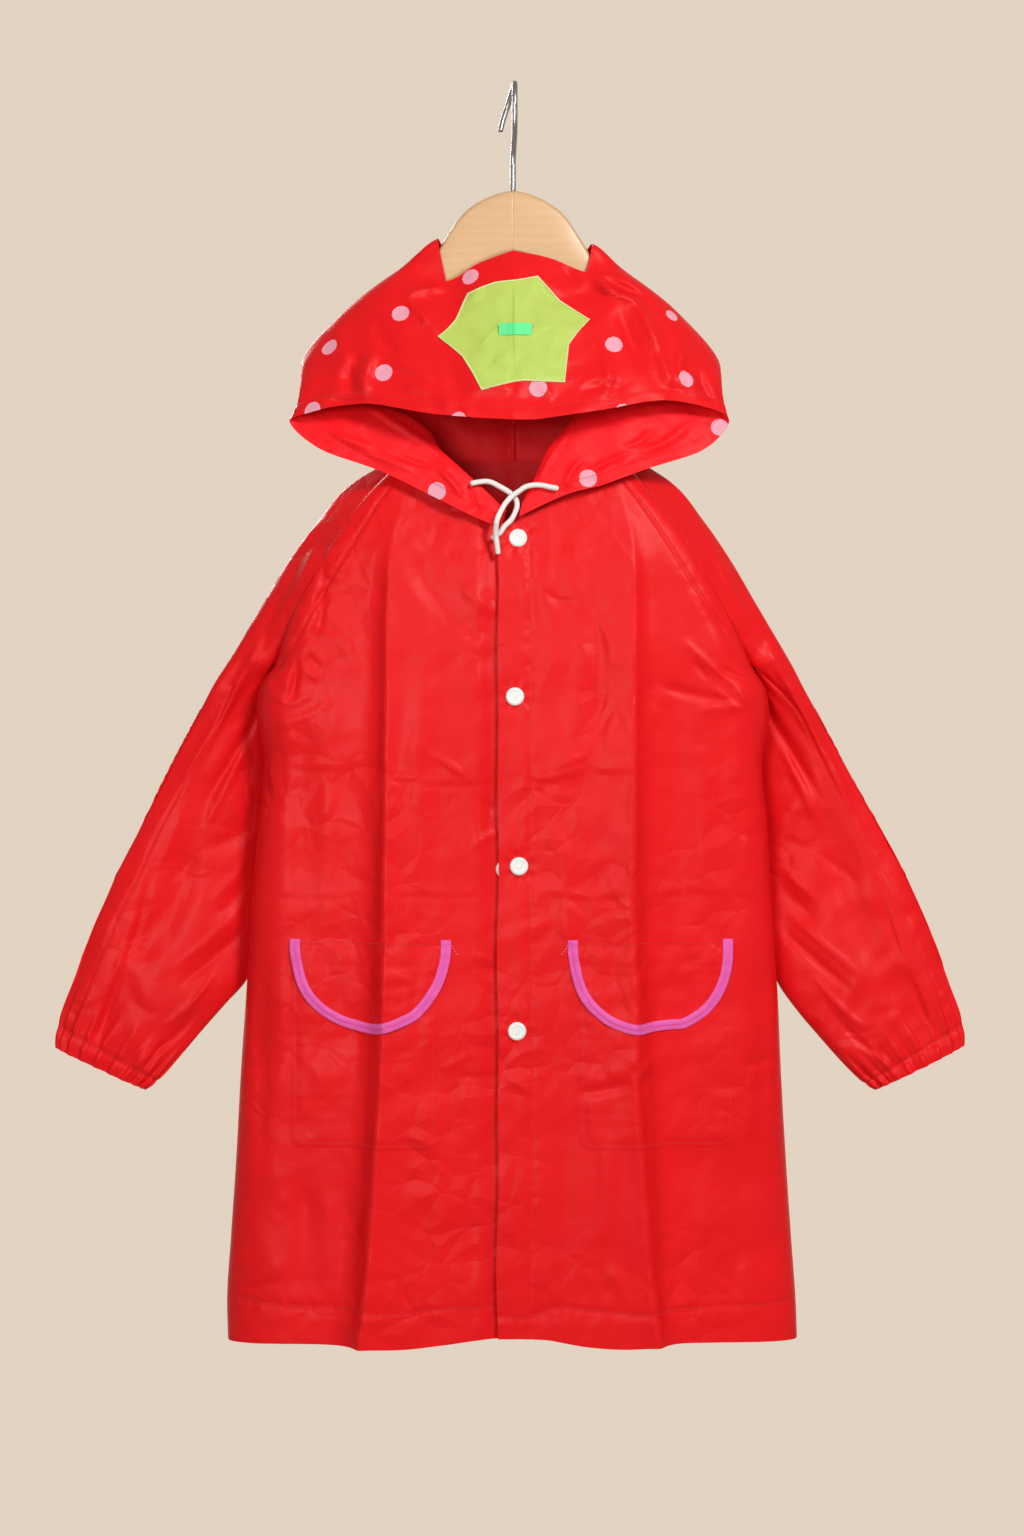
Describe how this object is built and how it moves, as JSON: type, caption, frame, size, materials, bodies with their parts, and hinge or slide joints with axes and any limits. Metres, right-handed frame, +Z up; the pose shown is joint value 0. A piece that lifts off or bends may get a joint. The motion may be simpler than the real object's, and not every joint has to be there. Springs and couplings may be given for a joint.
{
  "type": "child's hooded raincoat on a hanger",
  "caption": "Hooded raglan raincoat with snap front, flap pockets and gathered cuffs, hanging open-hemmed from a plain wooden hanger with a wire hook.",
  "frame": {"origin": "where the hook's inside bears on the rod that carries the hanger, the highest point of the hook's inner curve", "axes": "+Z up, +Y towards the back of the coat, so the front faces -Y; +X towards the wearer's left sleeve, the viewer's right"},
  "size_m": [0.7649, 0.1182, 1.0479],
  "materials": {
    "red_taffeta": "coated taffeta, slightly glossy",
    "pink_binding": "smooth woven tape",
    "lime_cloth": "coated taffeta, slightly glossy",
    "mint_tape": "flat woven tape, blank",
    "white_plastic": "moulded, softly glossy",
    "white_cord": "braided cord",
    "wood": "clear satin varnish on pale wood",
    "steel": "bright drawn wire"
  },
  "bodies": {
    "root": {"back": "red_taffeta", "drawcord_left": "white_cord", "drawcord_right": "white_cord", "front_left": "red_taffeta", "front_right": "red_taffeta", "hanger": "wood", "hood_left": "red_taffeta", "hood_right": "red_taffeta", "hook": "steel", "pocket_binding_left": "pink_binding", "pocket_binding_right": "pink_binding", "pocket_flap_left": "red_taffeta", "pocket_flap_right": "red_taffeta", "pocket_left": "red_taffeta", "pocket_right": "red_taffeta", "sleeve_left": "red_taffeta", "sleeve_right": "red_taffeta", "snap_cap_1": "white_plastic", "snap_cap_2": "white_plastic", "snap_cap_3": "white_plastic", "snap_cap_4": "white_plastic", "snap_stud_1": "white_plastic", "snap_stud_2": "white_plastic", "snap_stud_3": "white_plastic", "snap_stud_4": "white_plastic", "star_patch": "lime_cloth", "tab_label": "mint_tape"}
  },
  "joints": []
}
